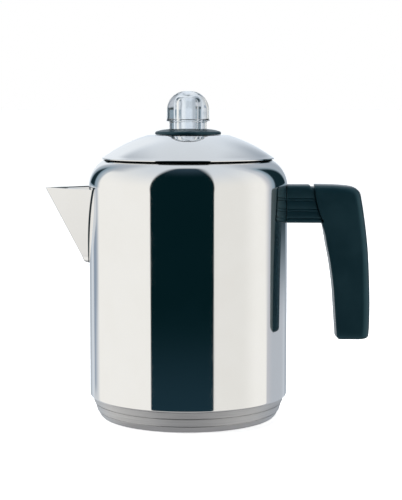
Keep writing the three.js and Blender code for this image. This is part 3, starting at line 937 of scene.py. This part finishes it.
def make_pump():
    tube = [(4.15, 17.0, 0.1), (4.75, 17.0, 0.15), (4.75, 181.0, 0.25), (4.15, 181.0, 0.2)]
    turned("tube", rounded(tube), INNER_STEEL, "pump", ["pump_tube"], steps=64)

    line = [(27.0, 7.5), (27.0, 9.2), (26.6, 10.6), (25.6, 11.6)]
    line += reversed(arc(15.75, 24.0, 10.0, 180, 256, 5))
    line += [(5.75, 26.0), (5.75, 29.0)]
    outline = sheet_outline(line, INNER_SHEET)
    foot = turned("steam_foot", outline, INNER_STEEL, "pump", ["pump_foot"], steps=128)
    # Four notches let the water in under the foot.
    notches = []
    for turn in (45, 135, 225, 315):
        a = math.radians(turn)
        outward = (math.cos(a), math.sin(a), 0)
        notches.append(cylinder_mesh((27 * math.cos(a), 27 * math.sin(a), 7.2), outward, 2.2, 8, 24))
    carve(foot, notches)

    seat = [(2.2, 12.2, 0.1), (15.2, 12.2, 0.15), (15.2, 12.9, 0.15)]
    seat += [(6.2, 12.9), (5.8, 12.9), (2.2, 12.9, 0.2)]
    turned("seat_plate", rounded(seat), INNER_STEEL, "pump", ["valve_seat"], steps=96)
    disc = [(0.0, 13.2), (5.3, 13.2, 0.2), (5.5, 13.4, 0.1), (5.5, 13.9, 0.2), (3.2, 14.0, 0.3), (0.0, 13.95)]
    outline = rounded(disc, closed=False)
    turned("valve_plate", outline, INNER_STEEL, "valve", ["valve_disc"], steps=64)
    stop = [(5.0, 108.5), (6.8, 108.5, 0.3), (7.8, 109.7, 0.5), (7.8, 110.9, 0.2), (5.0, 110.9)]
    turned("stop_ring", rounded(stop), INNER_STEEL, "pump", ["basket_stop"], steps=64)


def make_basket():
    line = (
        [(6.2, 112.1), (9.5, 112.1), (25.0, 112.1), (38.0, 112.1)]
        + arc(40.5, 115.1, 3.0, -90, 0, 9)
        + [(43.5, 117.0), (43.5, 135.0), (43.5, 154.6)]
        + arc(44.1, 155.2, 0.6, 180, 150, 10)
        + [(44.15, 156.0), (44.3, 156.4), (44.3, 157.2)]
    )
    outline = sheet_outline(line, INNER_SHEET)
    cup = turned("basket_bowl", outline, INNER_STEEL, "basket", ["basket_cup"], steps=192)
    rows = [(13.0, 12), (17.5, 17), (22.0, 22), (26.5, 27), (31.0, 32), (35.5, 37)]
    carve(cup, perforations(rows, 0.95, 112.4, 4.0))

    sleeve = [
        (5.25, 111.2, 0.1),
        (8.4, 111.2, 0.15),
        (8.4, 111.8, 0.15),
        (5.9, 111.8, 0.5),
        (5.9, 153.4, 0.2),
        (5.25, 153.4, 0.1),
    ]
    turned("basket_stem", rounded(sleeve), INNER_STEEL, "basket", ["basket_sleeve"], steps=64)

    line = rounded(
        [
            (5.45, 158.5),
            (5.45, 154.3, 0.5),
            (24.0, 154.3),
            (42.4, 154.3, 0.8),
            (42.4, 157.5, 0.6),
            (44.3, 157.5),
        ],
        closed=False,
    )
    outline = sheet_outline(line, 0.6)
    cover = turned("spreader", outline, INNER_STEEL, "cover", ["basket_cover"], steps=192)
    rows = [(11.0, 10), (15.5, 15), (20.0, 20), (24.5, 25), (29.0, 30), (33.5, 35), (38.0, 40)]
    carve(cover, perforations(rows, 0.9, 154.6, 4.0))


# ---- Studio -----------------------------------------------------------------------------------------

CAMERA_AZIMUTH = 3.0


def make_camera():
    distance, height, pitch, look_right, focal = 0.9028, 0.2007, 5.9, 0.528, 100.8
    a = math.radians(CAMERA_AZIMUTH)
    data = bpy.data.cameras.new("camera")
    data.lens = focal
    data.sensor_width = 36.0
    data.clip_start = 0.01
    data.clip_end = 200.0
    camera = bpy.data.objects.new("camera", data)
    camera.location = (distance * math.sin(a), -distance * math.cos(a), height)
    camera.rotation_euler = (math.radians(90 - pitch), 0.0, a - math.radians(look_right))
    bpy.context.scene.collection.objects.link(camera)
    bpy.context.scene.camera = camera


def make_world():
    """A studio by direction: a dark curtain in front and overhead, white panels beside it, grey behind."""
    world = bpy.data.worlds.new("studio")
    world.use_nodes = True
    bpy.context.scene.world = world
    n = Nodes(world.node_tree)
    a = math.radians(CAMERA_AZIMUTH)
    direction = n.add("ShaderNodeTexCoord").outputs["Generated"]
    front = n.dot(direction, (math.sin(a), -math.cos(a), 0))
    right = n.dot(direction, (math.cos(a), math.sin(a), 0))
    up = n.dot(direction, (0, 0, 1))
    # Degrees from the front, positive to the right, and degrees above the horizon.
    azimuth = n.math("MULTIPLY", n.math("ARCTAN2", right, front), 180 / math.pi)
    elevation = n.math("MULTIPLY", n.math("ARCSINE", up), 180 / math.pi)

    # The same direction as seen on a map with the zenith in the middle: degrees forward and sideways.
    level = n.math("SQRT", n.math("MAXIMUM", n.math("SUBTRACT", 1.0, n.math("MULTIPLY", up, up)), 1e-6))
    from_top = n.math("SUBTRACT", 90.0, elevation)
    forward = n.math("MULTIPLY", from_top, n.math("DIVIDE", front, level))
    sideways = n.math("MULTIPLY", from_top, n.math("DIVIDE", right, level))

    colour = side_panels(n, azimuth, elevation)
    colour = n.mix(n.ramp(elevation, 8.0, 72.0), colour, (0.672, 0.717, 0.764, 1))
    colour = rear_ceiling(n, colour, forward, sideways)
    colour = n.mix(n.ramp(elevation, -22.0, -50.0), colour, (0.37, 0.37, 0.38, 1))
    direct = (azimuth, elevation, sideways)
    colour = dark_corner(n, colour, *direct, (119.0, 0.16, 14.0), (37.5, 44.5), (-9.0, -3.5))
    mirrored = (n.math("MULTIPLY", azimuth, -1.0), elevation, n.math("MULTIPLY", sideways, -1.0))
    colour = dark_corner(n, colour, *mirrored, (137.0, 0.21, 18.0), (34.0, 41.0), (-1.5, 0.5))

    cloth, cover = curtain(n, forward, sideways, from_top, elevation)
    colour = n.mix(cover, colour, cloth)

    # What the camera sees directly is a plain white backdrop.
    seen = n.add("ShaderNodeLightPath").outputs["Is Camera Ray"]
    colour = n.mix(seen, colour, (1.0, 1.0, 1.0, 1))
    background = n.add("ShaderNodeBackground", None, Color=colour, Strength=1.0)
    n.add("ShaderNodeOutputWorld", None, Surface=background.outputs[0])


def side_panels(n, azimuth, elevation):
    """White panels on both sides, greyer towards their far edges, and a grey sweep behind."""
    white = n.mix(n.ramp(azimuth, 5.0, 28.0), (0.933, 0.922, 0.887, 1), (0.835, 0.825, 0.79, 1))
    white = n.mix(n.ramp(azimuth, 62.0, 88.0), white, (0.933, 0.922, 0.887, 1))
    colour = n.mix(n.ramp(azimuth, -123.0, -131.0), white, (0.66, 0.69, 0.72, 1))
    # The right panel's far edge is crisp low down and blurred higher up.
    blur = n.ramp(elevation, -11.5, -5.0, 1.0, 6.0)
    right_edge = n.math("DIVIDE", n.math("SUBTRACT", azimuth, 103.0), blur)
    colour = n.mix(n.ramp(right_edge, -1.0, 1.0), colour, (0.55, 0.56, 0.60, 1))
    colour = n.mix(n.ramp(azimuth, 104.0, 116.0), colour, (0.485, 0.52, 0.57, 1))
    behind = (0.66, 0.72, 0.785, 1)
    colour = n.mix(n.ramp(azimuth, -140.0, -148.0), colour, behind)
    colour = n.mix(n.ramp(azimuth, 137.0, 165.0), colour, behind)
    glow = n.math("MULTIPLY", n.ramp(n.math("ABSOLUTE", azimuth), 135.0, 160.0), n.ramp(elevation, -4.0, -1.0))
    colour = n.mix(glow, colour, (0.78, 0.85, 0.93, 1))
    # A grey slot beside the left panel, slanted at its top and narrower low down.
    inner = n.math("ADD", azimuth, n.ramp(elevation, -6.5, -10.5, 0.0, 4.5))
    outer = n.math("SUBTRACT", azimuth, n.ramp(elevation, -5.9, -4.4, 0.0, 10.0))
    outer = n.math("SUBTRACT", outer, n.ramp(elevation, -8.5, -10.5, 0.0, 0.8))
    slot = n.math("MULTIPLY", n.ramp(inner, -124.0, -135.5), n.ramp(outer, -143.0, -139.5))
    slot = n.math("MULTIPLY", slot, n.ramp(elevation, -12.0, -11.2))
    return n.mix(slot, colour, (0.28, 0.34, 0.425, 1))


def rear_ceiling(n, colour, forward, sideways):
    """Grey bands overhead towards the rear, a bright patch at the left and a dull one at the right."""
    aside = n.math("ABSOLUTE", sideways)
    band = n.math("MULTIPLY", n.ramp(aside, 12.0, 31.0), n.ramp(aside, 52.0, 41.0))
    band = n.math("MULTIPLY", band, n.ramp(forward, -6.0, -30.0, 0.0, 0.85))
    colour = n.mix(band, colour, (0.40, 0.44, 0.49, 1))
    bright = n.math("MULTIPLY", n.ramp(sideways, -5.0, -13.0), n.ramp(sideways, -32.0, -24.0))
    bright = n.math("MULTIPLY", bright, n.ramp(forward, -42.0, -57.0))
    colour = n.mix(bright, colour, (0.86, 0.91, 0.96, 1))
    dull = n.math("MULTIPLY", n.ramp(sideways, 7.0, 27.0), n.ramp(sideways, 40.0, 32.0))
    dull = n.math("MULTIPLY", dull, n.ramp(forward, -38.0, -60.0))
    return n.mix(dull, colour, (0.37, 0.42, 0.48, 1))


def dark_corner(n, colour, azimuth, elevation, sideways, side, inner, floor):
    """The colour with a dark corner of the room added, in a blue-grey haze on its near side.

    side is the azimuth of its near side, how far that leans with the elevation, and the haze's width. inner
    and floor are where it fades in, sideways and upwards.
    """
    near, lean, haze_width = side
    place = n.math("SUBTRACT", azimuth, n.math("MULTIPLY", elevation, lean))
    above = n.ramp(elevation, *floor)
    haze = n.math("MULTIPLY", n.ramp(place, near - haze_width, near - 1.0), above)
    haze = n.math("MULTIPLY", haze, n.ramp(sideways, inner[0] - 6.0, inner[1]))
    colour = n.mix(haze, colour, (0.25, 0.34, 0.41, 1))
    dark = n.math("MULTIPLY", n.ramp(place, near - 3.0, near + 1.5), n.ramp(sideways, *inner))
    dark = n.math("MULTIPLY", dark, above)
    # A slit of light at eye level, which only the knob can see.
    level = n.ramp(n.math("ABSOLUTE", n.math("ADD", elevation, 0.3)), 1.7, 1.0)
    slit = n.math("MULTIPLY", level, n.ramp(azimuth, 126.0, 133.0, 0.0, 0.85))
    dark = n.math("MULTIPLY", dark, n.math("SUBTRACT", 1.0, slit))
    return n.mix(dark, colour, (0.007, 0.021, 0.028, 1))


def curtain(n, forward, sideways, from_top, elevation):
    """The dark curtain: a wedge that narrows upward and ends straight above the pot."""
    soft = n.ramp(from_top, 8.0, 70.0, 4.0, 1.1)
    left_gap = n.math("MULTIPLY", n.math("ADD", sideways, 8.2), 0.77)
    left_gap = n.math("ADD", left_gap, n.math("MULTIPLY", forward, 0.64))
    right_gap = n.math("MULTIPLY", n.math("SUBTRACT", sideways, 7.2), 0.905)
    right_gap = n.math("SUBTRACT", n.math("MULTIPLY", forward, 0.43), right_gap)
    cover = n.ramp(elevation, -38.0, -20.0)
    for distance in (left_gap, right_gap, n.math("SUBTRACT", forward, 0.8)):
        share = n.ramp(n.math("DIVIDE", distance, soft), -1.0, 1.0)
        cover = n.math("MULTIPLY", cover, share)
    cloth = n.mix(n.ramp(from_top, -10.0, 42.0), (0.034, 0.06, 0.086, 1), (0.0016, 0.0112, 0.0143, 1))
    return n.mix(n.ramp(elevation, -8.0, -13.0), cloth, (0.011, 0.031, 0.045, 1)), cover


def make_floor():
    size = 60.0
    mesh = bpy.data.meshes.new("floor")
    corners = [(-size, -size, 0), (size, -size, 0), (size, size, 0), (-size, size, 0)]
    mesh.from_pydata(corners, [], [(0, 1, 2, 3)])
    floor = bpy.data.objects.new("floor", mesh)
    bpy.context.scene.collection.objects.link(floor)
    material = bpy.data.materials.new("floor_white")
    material.use_nodes = True
    nodes = Nodes(material.node_tree)
    shader = nodes.add("ShaderNodeBsdfPrincipled", None, Roughness=0.9)
    set_sockets(shader, Base_Color=(0.9, 0.9, 0.9, 1), Emission_Color=(1, 1, 1, 1), Emission_Strength=0.55)
    set_sockets(shader, Specular_IOR_Level=0.0)
    nodes.add("ShaderNodeOutputMaterial", None, Surface=shader.outputs["BSDF"])
    mesh.materials.append(material)
    floor.visible_glossy = False
    floor.visible_transmission = False
    floor.location.z = -0.0002


def make_lights():
    """Soft lamps at the sides and overhead, for the matt pieces. The mirror surfaces see the world instead."""
    for name, place, size, power in (
        ("left_panel", (-1.3, -0.2, 0.7), 0.9, 14.0),
        ("right_panel", (1.3, -0.5, 0.7), 0.9, 9.0),
        ("overhead", (0.0, 0.5, 1.5), 1.2, 14.0),
    ):
        data = bpy.data.lights.new(name, "AREA")
        data.shape = "SQUARE"
        data.size = size
        data.energy = power
        lamp = bpy.data.objects.new(name, data)
        lamp.location = place
        aim = Vector((0, 0, 0.1)) - Vector(place)
        lamp.rotation_euler = aim.to_track_quat("-Z", "Y").to_euler()
        lamp.visible_camera = False
        lamp.visible_glossy = False
        lamp.visible_transmission = False
        bpy.context.scene.collection.objects.link(lamp)


make_pot_wall()
make_base()
make_spout()
make_arm()
make_grip()
make_screw()
make_lid()
make_knob()
make_pump()
make_basket()

for node, material in (("heat_core", CORE_METAL), ("handle_bracket", INNER_STEEL)):
    cad_object = bpy.data.objects[node]
    cad_object.data.materials.clear()
    cad_object.data.materials.append(material)

make_camera()
make_world()
make_floor()
make_lights()

scene = bpy.context.scene
scene.view_settings.view_transform = "Standard"
scene.view_settings.look = "None"
